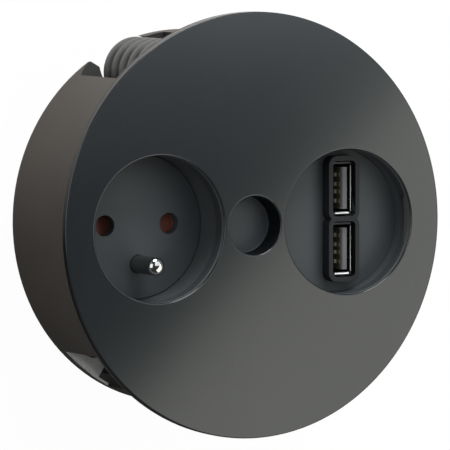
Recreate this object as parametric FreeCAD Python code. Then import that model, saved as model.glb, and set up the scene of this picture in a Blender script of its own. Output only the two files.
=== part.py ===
"""Round in-desk power socket: a turning cover over a mains socket well and a USB charger well.

Frame: millimetres, +Z along the cover's normal, origin at the centre of the underside, the unit
standing on its back cover. The mains well is on -X, the USB well on +X, and the notch with the
ribbed gland sleeve is on +Y. The cover is drawn open, with its holes over the wells.
"""
import FreeCAD, Part
import math
import os

# Overall sizes
total_height = 42.0
cover_r = 56.0
barrel_r = 50.1
barrel_wall = 2.0
flange_t = 0.75
back_t = 3.5
back_edge = 0.5

# Clearances
run_gap = 0.3          # between pieces that move past each other
bearing_gap = 0.05     # radial, in the cover's bearing
seat_gap = 0.1         # between fixed pieces that slip together
hole_gap = 0.15        # radial, of a screw in its hole
cut_past = 1.0         # how far a cut runs past the face it opens
level_within = 0.01    # of an edge that counts as lying at a level

# Cover
cover_t = 1.5
cover_edge = 0.35
well_r = 19.2
well_x = 28.3
finger_r = 7.73
finger_depth = 6.3
finger_step = 3.0
finger_step_in = 0.35
cup_wall = 0.4
cup_floor = 1.0
cover_turn = 90.0

# Bearing of the cover
bearing_r = 4.0
hub_t = 3.0
hub_r = 9.0
washer_r = 6.5
washer_t = 0.8
stop_r = 8.2
tab_angle = 45.0
tab_width = 24.0
tab_root = 1.0
stop_play = 2.5            # degrees between the washer's tab and a stop
notch_r = 0.8
notch_out = 0.3
bump_in = 0.1
pivot_thread = 1.0         # of the spindle's top left solid above the screw
spindle_solid = 0.5
leaf_t = 0.3
leaf_half = 8.0
leaf_height = 0.9
leaf_post_r = 1.2
leaf_post_x = 6.5
leaf_side = 270.0          # degrees, where the detent leaf stands

# Carrier
deck_t = 3.0
well_wall = 0.5
lug_t = 2.5
lug_screw_l = 4.6
lug_thread_end = 0.5
ledge_w = 2.0
ledge_t = 1.0
ledge_root = 0.5
pocket_h = 14.0
pocket_depth = 4.5
pocket_y = 0.45

# Mains socket
socket_depth = 12.7
floor_t = 3.0
socket_tube_z = 10.0
socket_foot_z = 7.0
pin_pitch = 19.0
contact_hole_r = 2.75
contact_y = 0.45
earth_x = 0.45             # of the earth pin, off the well's centre
earth_y = -9.9
earth_r = 2.4
earth_tip_depth = 1.8
earth_dome = 0.9
earth_end_z = 5.2
earth_head_t = 1.0
earth_head_r = 3.6
earth_shank_r = 2.9
strap_t = 0.8
strap_w = 5.0
strap_ring = 1.5

# Shutter
shutter_top_depth = 5.0     # below the socket's floor
shutter_t = 2.0
shutter_half_x = 13.5
shutter_back_y = 3.8
shutter_travel = 6.0
shutter_hole_r = 3.0
shutter_rail_w = 1.2
shutter_slot_half = 4.2
shutter_slot_y = -5.5
spring_r = 1.3
spring_wire_r = 0.22
spring_turns = 8
spring_end_y = 16.0

# Contacts
contact_r = 3.2
contact_bore_r = 2.45
contact_z = 9.0
contact_slit = 0.6
contact_foot = 2.0
contact_slit_foot = 4.0

# USB insert
usb_depth = 8.0
usb_block_depth = 4.5
usb_floor_t = 3.0
usb_tube_z = 29.0
usb_mid_x = 1.35           # of the two ports, off the well's centre
usb_mid_y = 0.45
port_pitch = 16.1
block_w = 9.3
block_l = 17.4
block_corner = 2.5
shell_w = 5.7
shell_l = 13.1
shell_t = 0.3
shell_depth = 14.0
shell_recess = 1.2
port_w = 6.9
port_l = 14.7
port_corner = 1.2
port_floor = 1.0
tongue_t = 1.84
tongue_l = 11.1
tongue_recess = 0.6
tongue_shift = 0.9
contact_strip_w = 1.2
contact_strip_t = 0.15
contact_strip_short = 0.6
tongue_foot_t = 1.5
contact_steps = (-3.5, -1.0, 1.0, 3.5)
board_t = 1.6
usb_board_w = 18.0
usb_board_l = 34.0
bezel_post_r = 1.4
bezel_post_x = 7.0
bezel_post_y = 15.8

# Power board
power_z = 6.0
power_x = (8.0, 44.0)
power_y = 18.0
standoff_r = 2.2
standoff_x = (11.0, 38.0)
standoff_y = 14.0
component_gap = 3.3        # above the parts on the power board
transformer = (14.0, 14.0)
transformer_notch = (2.0, 1.5)
transformer_at = (26.0, -3.0)
capacitor_r = 4.5
capacitor_edge = 0.6
capacitor_at = ((38.0, -8.0), (38.0, 5.0))
link_at = (28.3, 14.0)
link_size = (10.0, 2.5)
link_foot_h = 2.5
link_pin_r = 0.4
link_pitch = 2.5

# Terminal block
block_x = 12.0
block_y = (-40.0, -28.0)
block_top = 15.0
terminal_r = 2.0
terminal_step = 7.0
terminal_depth = 5.0
terminal_sunk = 1.0
screw_slot = (0.6, 0.6)    # width and depth
wire_r = 1.2
wire_z = 4.8
wire_bend = 0.45           # of the shorter run beside a bend, which its arc takes
lead_hole_r = 2.3
lead_end = 2.0

# Gland sleeve
sleeve_r = 9.4
sleeve_proud = 0.8         # of the sleeve's outer side, past the barrel's
sleeve_angle = 110.0
sleeve_low = 0.5
sleeve_top = 25.8
sleeve_rib = 4.2
sleeve_groove = 1.3
sleeve_groove_h = 1.0
sleeve_slope = 0.5
sleeve_lip = (1.0, 2.0)    # of the neck above the gland plate: wider by, and height
sleeve_bore_r = 3.6
collar_r = 6.2
neck_r = 5.0
gland_plate_z = 27.5
gland_plate_t = 3.5
gland_plate_half = (11.5, 2.8)
gland_eye = 2.0
gland_screw_l = 7.5
gland_screw_x = 9.0
gland_post_r = 2.4
notch_a = (98.0, 129.5)
notch_a_low = 4.5
notch_a_top = 27.5
plate_cut_angles = (105.5, 122.5)
facet_depth = 14.0         # of the sloped facet beside the sleeve, inwards from the bore
facet_run = 8.0
facet_angle = 150.7        # degrees, of the facet's level lines and of the cut where it ends

# Clips
clip_angles = (230.75, 50.75)
clip_slot_half = 7.05
clip_recess = 0.7
clip_recess_angle = 5.0
clip_slot_top = 34.0
clip_t = 0.8
clip_half = 4.5
clip_foot_inset = 0.1
clip_screw_in = 1.2        # of the screw, inwards from the middle of the foot
clip_foot_l = 8.1
clip_lip_gap = 0.1
clip_lip_short = 1.0       # degrees between the lip and the end of the recess
clip_crest = 2.0
clip_barb_root = 1.6
clip_barb_in = 1.3
clip_tip_out = 0.9
clip_bend_z = 26.0
clip_tip_z = 30.0
clip_top_z = 33.0
clip_head_r = 1.9
clip_head_t = 1.0
clip_screw_l = 3.1

# Screws
screw_r = 1.4
screw_head_r = 2.6
screw_head_t = 1.5
head_sunk = 0.2
thread_end = 1.0           # of a blind hole's end
boss_angles = (38.0, 142.0, 212.0, 328.0)
boss_inset = 2.9           # of the bosses' centres, inside the barrel's bore
boss_r = 3.5
case_screw_l = 12.0
deck_screw_l = 10.0
ear_y = 22.8
ear_half = (4.0, 3.2)
ear_t = 3.0

# Gasket
gasket_r = (50.5, 54.5)
gasket_t = 0.8

# Levels that follow from these
cover_low = total_height - cover_t
deck_top = cover_low - run_gap
deck_low = deck_top - deck_t
flange_low = deck_top - flange_t
cup_low = total_height - finger_depth - cup_floor
hub_top = cup_low - run_gap
hub_low = hub_top - hub_t
washer_top = hub_low - run_gap
washer_low = washer_top - washer_t
floor_top = total_height - socket_depth
floor_low = floor_top - floor_t
shutter_top = floor_top - shutter_top_depth
shutter_low = shutter_top - shutter_t
usb_floor = total_height - usb_depth
usb_floor_low = usb_floor - usb_floor_t
usb_block_top = total_height - usb_block_depth
shell_top = usb_block_top - shell_recess
shell_low = shell_top - shell_depth
tongue_foot = shell_low + shell_t + tongue_foot_t
inner_r = barrel_r - barrel_wall
boss_pcd_r = inner_r - boss_inset
sleeve_at_r = barrel_r + sleeve_proud - sleeve_r
clip_outer_r = barrel_r - clip_foot_inset
clip_inner_r = clip_outer_r - clip_foot_l
clip_tip_r = barrel_r + clip_tip_out
clip_screw_at = (clip_inner_r + clip_outer_r) / 2 - clip_screw_in
usb_board_low = shell_low - board_t
component_top = usb_board_low - component_gap
sleeve_x = sleeve_at_r * math.cos(math.radians(sleeve_angle))
sleeve_y = sleeve_at_r * math.sin(math.radians(sleeve_angle))
pin_x = -well_x + earth_x
port_x = well_x + usb_mid_x
port_ys = [usb_mid_y + side * port_pitch / 2 for side in (1, -1)]
far = 2 * cover_r


def V(x, y, z=0.0):
    return FreeCAD.Vector(x, y, z)


def rod(r, z0, z1, x=0.0, y=0.0):
    return Part.makeCylinder(r, z1 - z0, V(x, y, z0))


def tube(outer, inner, z0, z1, x=0.0, y=0.0):
    return rod(outer, z0, z1, x, y).cut(rod(inner, z0, z1, x, y))


def block(x0, x1, y0, y1, z0, z1):
    return Part.makeBox(x1 - x0, y1 - y0, z1 - z0, V(x0, y0, z0))


def polar(r, angle):
    return r * math.cos(math.radians(angle)), r * math.sin(math.radians(angle))


def prism(points, z0, z1):
    corners = [V(x, y, z0) for x, y in points]
    face = Part.Face(Part.makePolygon(corners + corners[:1]))
    return face.extrude(V(0, 0, z1 - z0))


def wedge(r0, r1, a0, a1, z0, z1):
    """A sector of a ring between two radii, two angles and two levels."""
    sector = Part.makeCylinder(r1, z1 - z0, V(0, 0, z0), V(0, 0, 1), a1 - a0)
    sector.rotate(V(0, 0, 0), V(0, 0, 1), a0)
    return sector.cut(rod(r0, z0, z1))


def rounded(w, l, corner, z0, z1, x, y):
    shape = block(x - w / 2, x + w / 2, y - l / 2, y + l / 2, z0, z1)
    upright = [e for e in shape.Edges if abs(e.Vertexes[0].Z - e.Vertexes[-1].Z) > (z1 - z0) / 2]
    return shape.makeFillet(corner, upright)


def join(first, others):
    return first.fuse(list(others)).removeSplitter()


def group(shapes):
    return Part.makeCompound(list(shapes))


def save(name, shape):
    shape.exportStep("parts/" + name + ".step")


def down_screw(x, y, head_low, length):
    """A screw pointing down: its flat head's underside at head_low."""
    return join(rod(screw_head_r, head_low, head_low + screw_head_t, x, y),
                [rod(screw_r, head_low - length, head_low, x, y)])


def up_screw(x, y, head_top, length):
    """A screw pointing up: its flat head's upper side at head_top."""
    return join(rod(screw_head_r, head_top - screw_head_t, head_top, x, y),
                [rod(screw_r, head_top, head_top + length, x, y)])


def cover_plate():
    plate = rod(cover_r, cover_low, total_height)
    plate = plate.cut(rod(finger_r, cover_low, total_height))
    for x in (-well_x, well_x):
        plate = plate.cut(rod(well_r, cover_low, total_height, x))
    top = [e for e in plate.Edges if e.BoundBox.ZMin > total_height - level_within]
    return plate.makeChamfer(cover_edge, top)


def finger_cup():
    cup = rod(finger_r + cup_wall, cup_low, cover_low)
    cup = cup.cut(rod(finger_r, total_height - finger_step, cover_low))
    cup = cup.cut(rod(finger_r - finger_step_in, cup_low + cup_floor, cover_low))
    spindle = rod(bearing_r, washer_top, cup_low)
    return join(cup, [spindle]).cut(rod(screw_r + hole_gap, washer_top,
                                        cup_low - spindle_solid))


def pivot_screw():
    return up_screw(0, 0, washer_low, cup_low - washer_low - pivot_thread)


def retaining_washer():
    half = tab_width / 2
    washer = join(rod(washer_r, washer_low, washer_top),
                  [wedge(washer_r - tab_root, stop_r, tab_angle - half, tab_angle + half,
                         washer_low, washer_top)])
    washer = washer.cut(rod(screw_r + hole_gap, washer_low, washer_top))
    for angle in (leaf_side - cover_turn, leaf_side):
        x, y = polar(washer_r + notch_out, angle)
        washer = washer.cut(rod(notch_r, washer_low, washer_top, x, y))
    return washer


def detent_spring():
    y = -(washer_r + notch_r + run_gap + leaf_t)
    leaf = block(-leaf_half, leaf_half, y - leaf_t, y, washer_low, washer_low + leaf_height)
    bump = rod(notch_r - bump_in, washer_low, washer_low + leaf_height, 0, y)
    return join(leaf, [bump])


def casing():
    shell = tube(cover_r, inner_r, flange_low, deck_top)
    shell = shell.fuse(tube(barrel_r, inner_r, back_t, flange_low))
    ledge = tube(inner_r + ledge_root, inner_r - ledge_w, deck_low - ledge_t, deck_low)
    bosses = []
    for angle in boss_angles:
        x, y = polar(boss_pcd_r, angle)
        bosses.append(rod(boss_r, back_t, deck_low, x, y))
    shell = shell.fuse([ledge] + bosses)
    for x in (-well_x, well_x):
        shell = shell.cut(rod(well_r + well_wall + seat_gap, back_t, deck_low, x))
    for angle in boss_angles:
        x, y = polar(boss_pcd_r, angle)
        shell = shell.cut(rod(screw_r + seat_gap, back_t, deck_low, x, y))
    for side in (-1, 1):
        x = sleeve_x + side * gland_screw_x
        shell = shell.cut(rod(gland_post_r + run_gap, deck_low - ledge_t, deck_low, x, sleeve_y))
        shell = shell.cut(rod(screw_head_r + seat_gap, gland_plate_z - screw_head_t,
                              gland_plate_z, x, sleeve_y))
    w, l = gland_plate_half[0] + seat_gap, gland_plate_half[1] + seat_gap
    shell = shell.cut(block(sleeve_x - w, sleeve_x + w, sleeve_y - l, sleeve_y + l,
                            gland_plate_z, gland_plate_z + gland_plate_t))
    shell = shell.cut(rod(neck_r + gland_eye + seat_gap, gland_plate_z,
                          gland_plate_z + gland_plate_t, sleeve_x, sleeve_y))
    wall_in = inner_r - ledge_w - cut_past
    shell = shell.cut(wedge(wall_in, far, notch_a[0], notch_a[1], notch_a_low, notch_a_top))
    shell = shell.cut([sleeve_room(back_t, notch_a_top), facet()])
    for angle in clip_angles:
        shell = shell.cut(wedge(wall_in, far, angle - clip_slot_half,
                                angle + clip_slot_half, back_t, clip_slot_top))
        shell = shell.cut(wedge(barrel_r - clip_recess, far, angle + clip_slot_half,
                                angle + clip_slot_half + clip_recess_angle, back_t, clip_slot_top))
    return shell.removeSplitter()


def sleeve_room(z0, z1):
    """The space of the sleeve in the casing and the back cover, open to the outside."""
    reach = sleeve_r + run_gap
    room = rod(reach, z0, z1, sleeve_x, sleeve_y)
    right, left = plate_cut_angles
    start_x, start_y = polar(barrel_r, left)
    out_x, out_y = polar(1, facet_angle)
    along = (sleeve_x - start_x) * out_x + (sleeve_y - start_y) * out_y
    corner = [(start_x, start_y), (start_x + along * out_x, start_y + along * out_y),
              (sleeve_x, sleeve_y), polar(barrel_r, right), polar(far, right), polar(far, left)]
    return room.fuse(prism(corner, z0, z1))


def facet():
    """The space over the sloped facet beside the sleeve, down to the rim of the back cover."""
    top = notch_a_low
    upper = polar(barrel_r, notch_a[1] - facet_angle)[1]
    lower = polar(barrel_r, plate_cut_angles[1] - facet_angle)[1]
    drop = top * facet_run / (upper - lower)
    inner = inner_r - facet_depth
    corners = [V(inner, upper, top), V(inner, upper - facet_run, top),
               V(inner, upper - facet_run, top - drop)]
    space = Part.Face(Part.makePolygon(corners + corners[:1])).extrude(V(far - inner, 0, 0))
    space.rotate(V(0, 0, 0), V(0, 0, 1), facet_angle)
    return space


def back_cover():
    plate = rod(barrel_r, 0, back_t)
    low = [e for e in plate.Edges if e.BoundBox.ZMax < level_within]
    plate = plate.makeChamfer(back_edge, low)
    plate = plate.cut([sleeve_room(0, back_t), facet()])
    for angle in boss_angles:
        x, y = polar(boss_pcd_r, angle)
        plate = plate.cut(rod(screw_r + hole_gap, 0, back_t, x, y))
        plate = plate.cut(rod(screw_head_r + hole_gap, 0, screw_head_t + head_sunk, x, y))
    for angle in clip_angles:
        x, y = polar(clip_screw_at, angle)
        plate = plate.cut(rod(screw_r, back_t + clip_t - clip_screw_l, back_t, x, y))
    posts = []
    for x in standoff_x:
        for y in (-standoff_y, standoff_y):
            posts.append(rod(standoff_r, back_t, power_z, x, y))
    return join(plate, posts)


def case_screws():
    screws = []
    for angle in boss_angles:
        x, y = polar(boss_pcd_r, angle)
        screws.append(up_screw(x, y, screw_head_t + head_sunk, case_screw_l))
    return group(screws)


def deck_screws():
    screws = []
    for angle in boss_angles:
        x, y = polar(boss_pcd_r, angle)
        screws.append(down_screw(x, y, deck_top - screw_head_t - head_sunk, deck_screw_l))
    return group(screws)


def carrier():
    """The deck under the cover, with the hub that carries the cover and the stops of its turn."""
    deck = rod(inner_r - seat_gap, deck_low, deck_top)
    hub = [rod(hub_r, hub_low, deck_low)]
    half = tab_width / 2
    for turn in (-1, 1):
        middle = tab_angle + cover_turn / 2 + turn * (cover_turn / 2 + tab_width + stop_play)
        hub.append(wedge(washer_r + run_gap, stop_r, middle - half, middle + half,
                         washer_low, hub_low))
    leaf_y = -(washer_r + notch_r + run_gap + 2 * leaf_t + leaf_post_r)
    posts = [rod(leaf_post_r, washer_low, deck_low, side * leaf_post_x, leaf_y) for side in (-1, 1)]
    posts += [rod(gland_post_r, gland_plate_z + gland_plate_t, deck_low,
                  sleeve_x + side * gland_screw_x, sleeve_y) for side in (-1, 1)]
    body = deck.fuse(hub + posts)
    body = body.cut(rod(finger_r + cup_wall + run_gap, hub_top, deck_top))
    body = body.cut(rod(bearing_r + bearing_gap, washer_low, hub_top))
    for side in (-1, 1):
        body = body.cut(rod(well_r, deck_low, deck_top, side * well_x))
        body = body.cut(rod(well_r + well_wall + seat_gap, washer_low, deck_low, side * well_x))
        body = body.cut(rod(screw_r + seat_gap, gland_plate_z + gland_plate_t,
                            deck_low - thread_end, sleeve_x + side * gland_screw_x, sleeve_y))
        for x in (-well_x, well_x):
            body = body.cut(rod(screw_r + seat_gap, deck_low, deck_top - lug_thread_end,
                                x, side * ear_y))
    for angle in boss_angles:
        x, y = polar(boss_pcd_r, angle)
        body = body.cut(rod(screw_r + hole_gap, deck_low, deck_top, x, y))
        body = body.cut(rod(screw_head_r + hole_gap, deck_top - screw_head_t - head_sunk,
                            deck_top, x, y))
    body = body.cut(block(well_x + well_r - cut_past, far, pocket_y - pocket_h / 2,
                          pocket_y + pocket_h / 2, total_height - pocket_depth, deck_top))
    return body.removeSplitter()


def ear(x, side, z0, z1):
    y = side * ear_y
    return block(x - ear_half[0], x + ear_half[0], y - ear_half[1], y + ear_half[1], z0, z1)


def liner(x, low, ears):
    """The wall of a well below the deck, with lugs for the screws that hold it up to the deck."""
    lugs = [ear(x, side, deck_low - lug_t, deck_low) for side in (-1, 1)]
    body = rod(well_r + well_wall, low, deck_low, x).fuse(lugs + ears)
    body = body.cut(rod(well_r, low, deck_low, x))
    for side in (-1, 1):
        body = body.cut(rod(screw_r + hole_gap, low, deck_low, x, side * ear_y))
    return body.removeSplitter()


def mains_liner():
    ears = [ear(-well_x, side, socket_tube_z, socket_tube_z + ear_t) for side in (-1, 1)]
    return liner(-well_x, socket_tube_z, ears)


def usb_liner():
    return liner(well_x, usb_tube_z, [])


def liner_screws():
    return group([up_screw(x, side * ear_y, deck_low - lug_t, lug_screw_l)
                  for x in (-well_x, well_x) for side in (-1, 1)])


def socket_floor():
    disc = rod(well_r - seat_gap, floor_low, floor_top, -well_x)
    for side in (-1, 1):
        disc = disc.cut(rod(contact_hole_r, floor_low, floor_top,
                            -well_x + side * pin_pitch / 2, contact_y))
    return disc.cut(rod(earth_shank_r + bearing_gap, floor_low, floor_top, pin_x, earth_y))


def shutter_space():
    """The pocket in which the shutter slides, and the channel of its spring."""
    reach = shutter_half_x + run_gap
    front = -(shutter_hole_r + shutter_travel + run_gap * 2)
    pocket = block(-well_x - reach, -well_x + reach, front - run_gap,
                   shutter_back_y + shutter_travel + run_gap, shutter_low - run_gap, floor_low)
    width = spring_r + spring_wire_r + run_gap
    channel = block(-well_x - width, -well_x + width, 0, spring_end_y, shutter_low - run_gap,
                    floor_low)
    return pocket.fuse(channel)


def socket_body():
    body = rod(well_r - seat_gap, socket_foot_z, floor_low, -well_x)
    body = body.fuse([block(-well_x - ear_half[0], -well_x + ear_half[0], -ear_y - ear_half[1],
                            ear_y + ear_half[1], socket_foot_z, socket_tube_z)])
    body = body.cut(shutter_space())
    for side in (-1, 1):
        x = -well_x + side * pin_pitch / 2
        body = body.cut(rod(contact_r + seat_gap, contact_z, shutter_low, x, contact_y))
        body = body.cut(rod(wire_r + run_gap, socket_foot_z, contact_z, x, contact_y))
        body = body.cut(rod(screw_r + hole_gap, socket_foot_z, socket_tube_z, -well_x, side * ear_y))
    body = body.cut(rod(earth_shank_r + bearing_gap, socket_foot_z, floor_low, pin_x, earth_y))
    return body.removeSplitter()


def socket_screws():
    return group([up_screw(-well_x, side * ear_y, socket_foot_z, socket_tube_z + ear_t
                           - socket_foot_z - head_sunk) for side in (-1, 1)])


def shutter():
    front = -(shutter_hole_r + shutter_travel + run_gap * 2)
    x0, x1 = -well_x - shutter_half_x, -well_x + shutter_half_x
    plate = block(x0, x1, front, shutter_back_y, shutter_low, shutter_top)
    rails = [block(x0, x0 + shutter_rail_w, front, shutter_back_y, shutter_top,
                   floor_low - run_gap),
             block(x1 - shutter_rail_w, x1, front, shutter_back_y, shutter_top,
                   floor_low - run_gap)]
    plate = plate.fuse(rails)
    for side in (-1, 1):
        plate = plate.cut(rod(shutter_hole_r, shutter_low, shutter_top,
                              -well_x + side * pin_pitch / 2, contact_y - shutter_travel))
    slot = block(-well_x - shutter_slot_half, -well_x + shutter_slot_half, front - cut_past,
                 shutter_slot_y, shutter_low, shutter_top)
    return plate.cut(slot).removeSplitter()


def shutter_spring():
    """A coil between the shutter's edge and the end of its channel, along Y."""
    start = shutter_back_y + spring_wire_r
    length = spring_end_y - shutter_back_y - 2 * spring_wire_r
    helix = Part.makeHelix(length / spring_turns, length, spring_r)
    wire = Part.Wire(helix.Edges)
    section = Part.Wire(Part.makeCircle(spring_wire_r, V(spring_r, 0, 0), V(0, 1, 0)))
    coil = wire.makePipeShell([section], True, True)
    coil.rotate(V(0, 0, 0), V(1, 0, 0), -90)
    coil.translate(V(-well_x, start, (shutter_low + floor_low) / 2))
    return coil


def contacts(side):
    x = -well_x + side * pin_pitch / 2
    y = contact_y
    sleeve = tube(contact_r, contact_bore_r, contact_z, shutter_low - run_gap, x, y)
    sleeve = sleeve.fuse(rod(contact_r, contact_z, contact_z + contact_foot, x, y)).removeSplitter()
    return sleeve.cut(block(x - contact_slit / 2, x + contact_slit / 2, y,
                            y + contact_r + cut_past, contact_z + contact_slit_foot, shutter_low))


def earth_pin():
    tip = total_height - earth_tip_depth
    pin = rod(earth_r, floor_low, tip, pin_x, earth_y)
    dome = [e for e in pin.Edges if e.BoundBox.ZMin > tip - level_within]
    pin = pin.makeFillet(earth_dome, dome)
    return join(pin, [rod(earth_shank_r, earth_end_z, floor_top, pin_x, earth_y),
                      rod(earth_head_r, earth_end_z, earth_end_z + earth_head_t, pin_x, earth_y)])


def earth_strap():
    low = earth_end_z + earth_head_t
    ring = rod(strap_w / 2 + strap_ring, low, low + strap_t, pin_x, earth_y)
    end_y = (block_y[0] + block_y[1]) / 2
    dx, dy = -block_x - pin_x, end_y - earth_y
    length = math.hypot(dx, dy)
    sx, sy = -dy / length * strap_w / 2, dx / length * strap_w / 2
    band = prism([(pin_x + sx, earth_y + sy), (pin_x - sx, earth_y - sy),
                  (-block_x - sx, end_y - sy), (-block_x + sx, end_y + sy)], low, low + strap_t)
    strap = join(ring, [band])
    strap = strap.cut(block(-block_x, far, -far, far, low, low + strap_t))
    return strap.cut(rod(earth_shank_r + bearing_gap, low, low + strap_t, pin_x, earth_y))


def usb_bezel():
    plate = rod(well_r - seat_gap, usb_floor_low, usb_floor, well_x)
    humps = [rounded(block_w, block_l, block_corner, usb_floor, usb_block_top, port_x, y)
             for y in port_ys]
    board_top = shell_low
    posts = [rod(bezel_post_r, board_top, usb_floor_low, well_x + sx * bezel_post_x,
                 sy * bezel_post_y) for sx in (-1, 1) for sy in (-1, 1)]
    body = plate.fuse(humps + posts).removeSplitter()
    w, l = shell_w / 2 + seat_gap, shell_l / 2 + seat_gap
    for y in port_ys:
        body = body.cut(block(port_x - w, port_x + w, y - l, y + l, usb_floor_low, usb_block_top))
        body = body.cut(rounded(port_w, port_l, port_corner, usb_floor_low + port_floor,
                                usb_block_top, port_x, y))
    return body


def usb_shell(y):
    w, l = shell_w / 2, shell_l / 2
    outer = block(port_x - w, port_x + w, y - l, y + l, shell_low, shell_top)
    w, l = w - shell_t, l - shell_t
    return outer.cut(block(port_x - w, port_x + w, y - l, y + l, shell_low + shell_t, shell_top))


def tongue_box(y):
    middle = port_x + tongue_shift
    return (middle - tongue_t / 2, middle + tongue_t / 2, y - tongue_l / 2, y + tongue_l / 2)


def usb_tongue(y):
    x0, x1, y0, y1 = tongue_box(y)
    tongue = block(x0, x1, y0, y1, tongue_foot, shell_top - tongue_recess)
    w, l = shell_w / 2 - shell_t, shell_l / 2 - shell_t
    return join(tongue, [block(port_x - w, port_x + w, y - l, y + l, shell_low + shell_t,
                               tongue_foot)])


def usb_contacts(y):
    x0 = tongue_box(y)[0]
    strips = []
    for step in contact_steps:
        strips.append(block(x0 - contact_strip_t, x0, y + step - contact_strip_w / 2,
                            y + step + contact_strip_w / 2, tongue_foot,
                            shell_top - tongue_recess - contact_strip_short))
    return group(strips)


def usb_board():
    return block(well_x - usb_board_w / 2, well_x + usb_board_w / 2, -usb_board_l / 2,
                 usb_board_l / 2, usb_board_low, shell_low)


def power_board():
    board = block(power_x[0], power_x[1], -power_y, power_y, power_z, power_z + board_t)
    for route in supply_routes:
        board = board.cut(rod(lead_hole_r, power_z, power_z + board_t, *route[-1]))
    return board


def transformer_coil():
    x, y = transformer_at
    w, l = transformer
    side, deep = transformer_notch
    low = power_z + board_t
    core = block(x - w / 2, x + w / 2, y - l / 2, y + l / 2, low, component_top)
    for y0, y1 in ((y - l / 2, y - l / 2 + deep), (y + l / 2 - deep, y + l / 2)):
        core = core.cut(block(x - w / 2 + side, x + w / 2 - side, y0, y1, low, component_top))
    return core


def capacitors():
    low = power_z + board_t
    cans = []
    for x, y in capacitor_at:
        can = rod(capacitor_r, low, component_top, x, y)
        top = [e for e in can.Edges if e.BoundBox.ZMin > component_top - level_within]
        cans.append(can.makeFillet(capacitor_edge, top))
    return group(cans)


def board_link():
    x, y = link_at
    w, l = link_size
    low = power_z + board_t
    foot = block(x - w / 2, x + w / 2, y - l / 2, y + l / 2, low, low + link_foot_h)
    pins = [rod(link_pin_r, low + link_foot_h, usb_board_low, x + step * link_pitch, y)
            for step in (-1.5, -0.5, 0.5, 1.5)]
    return join(foot, pins)


def terminal_block():
    body = block(-block_x, block_x, block_y[0], block_y[1], back_t, block_top)
    middle = (block_y[0] + block_y[1]) / 2
    for step in (-1, 0, 1):
        body = body.cut(rod(terminal_r, block_top - terminal_depth, block_top,
                            step * terminal_step, middle))
    return body


def terminal_screws():
    middle = (block_y[0] + block_y[1]) / 2
    heads = []
    for step in (-1, 0, 1):
        x = step * terminal_step
        top = block_top - terminal_sunk
        head = rod(terminal_r - seat_gap, block_top - terminal_depth, top, x, middle)
        wide, deep = screw_slot
        heads.append(head.cut(block(x - terminal_r, x + terminal_r, middle - wide / 2,
                                    middle + wide / 2, top - deep, top)))
    return group(heads)


def wire(points, end_z):
    """A round wire lying at wire_z along points, with arcs at its turns, then rising to end_z."""
    path = [V(x, y, wire_z) for x, y in points] + [V(points[-1][0], points[-1][1], end_z)]
    edges = []
    start = path[0]
    for i in range(1, len(path) - 1):
        before, corner, after = path[i - 1], path[i], path[i + 1]
        into = (corner - before).normalize()
        out = (after - corner).normalize()
        half = into.getAngle(out) / 2
        shorter = min((corner - before).Length, (after - corner).Length)
        cut = wire_bend * shorter
        radius = cut / math.tan(half)
        first, last = corner - into * cut, corner + out * cut
        inward = (out - into).normalize()
        centre = corner + inward * (radius / math.cos(half))
        middle = centre - inward * radius
        edges.append(Part.makeLine(start, first))
        edges.append(Part.Arc(first, middle, last).toShape())
        start = last
    edges.append(Part.makeLine(start, path[-1]))
    spine = Part.Wire(edges)
    direction = (path[1] - path[0]).normalize()
    section = Part.Wire(Part.makeCircle(wire_r, path[0], direction))
    return spine.makePipeShell([section], True, True)


def gland_sleeve():
    """Ribs as ruled lofts between circles, stacked, then the neck, the collar and the bore."""
    count = int((sleeve_top - sleeve_low) / sleeve_rib)
    low = sleeve_low
    circles = []

    def ring(r, z):
        circles.append(Part.Wire(Part.makeCircle(r, V(sleeve_x, sleeve_y, z), V(0, 0, 1))))

    core = rod(sleeve_r - sleeve_groove, sleeve_low, sleeve_top, sleeve_x, sleeve_y)
    ribs = []
    slope = sleeve_slope
    for i in range(count):
        z = low + i * sleeve_rib
        circles = []
        ring(sleeve_r - sleeve_groove, z)
        ring(sleeve_r, z + slope)
        ring(sleeve_r, z + sleeve_rib - sleeve_groove_h - slope)
        ring(sleeve_r - sleeve_groove, z + sleeve_rib - sleeve_groove_h)
        ribs.append(Part.makeLoft(circles, True, True))
    body = core.fuse(ribs)
    plate_top = gland_plate_z + gland_plate_t
    lip_wide, lip_high = sleeve_lip
    body = body.fuse([rod(collar_r, sleeve_top, gland_plate_z, sleeve_x, sleeve_y),
                      rod(neck_r, gland_plate_z, plate_top, sleeve_x, sleeve_y),
                      rod(neck_r + lip_wide, plate_top, plate_top + lip_high, sleeve_x, sleeve_y)])
    return body.cut(rod(sleeve_bore_r, sleeve_low, plate_top + lip_high, sleeve_x, sleeve_y))


def gland_plate():
    w, l = gland_plate_half
    top = gland_plate_z + gland_plate_t
    plate = block(sleeve_x - w, sleeve_x + w, sleeve_y - l, sleeve_y + l, gland_plate_z, top)
    plate = plate.fuse(rod(neck_r + gland_eye, gland_plate_z, top, sleeve_x, sleeve_y))
    plate = plate.cut(rod(neck_r, gland_plate_z, top, sleeve_x, sleeve_y)).removeSplitter()
    for side in (-1, 1):
        plate = plate.cut(rod(screw_r + hole_gap, gland_plate_z, top,
                              sleeve_x + side * gland_screw_x, sleeve_y))
    return plate


def gland_screws():
    return group([up_screw(sleeve_x + side * gland_screw_x, sleeve_y, gland_plate_z,
                           gland_screw_l) for side in (-1, 1)])


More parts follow.
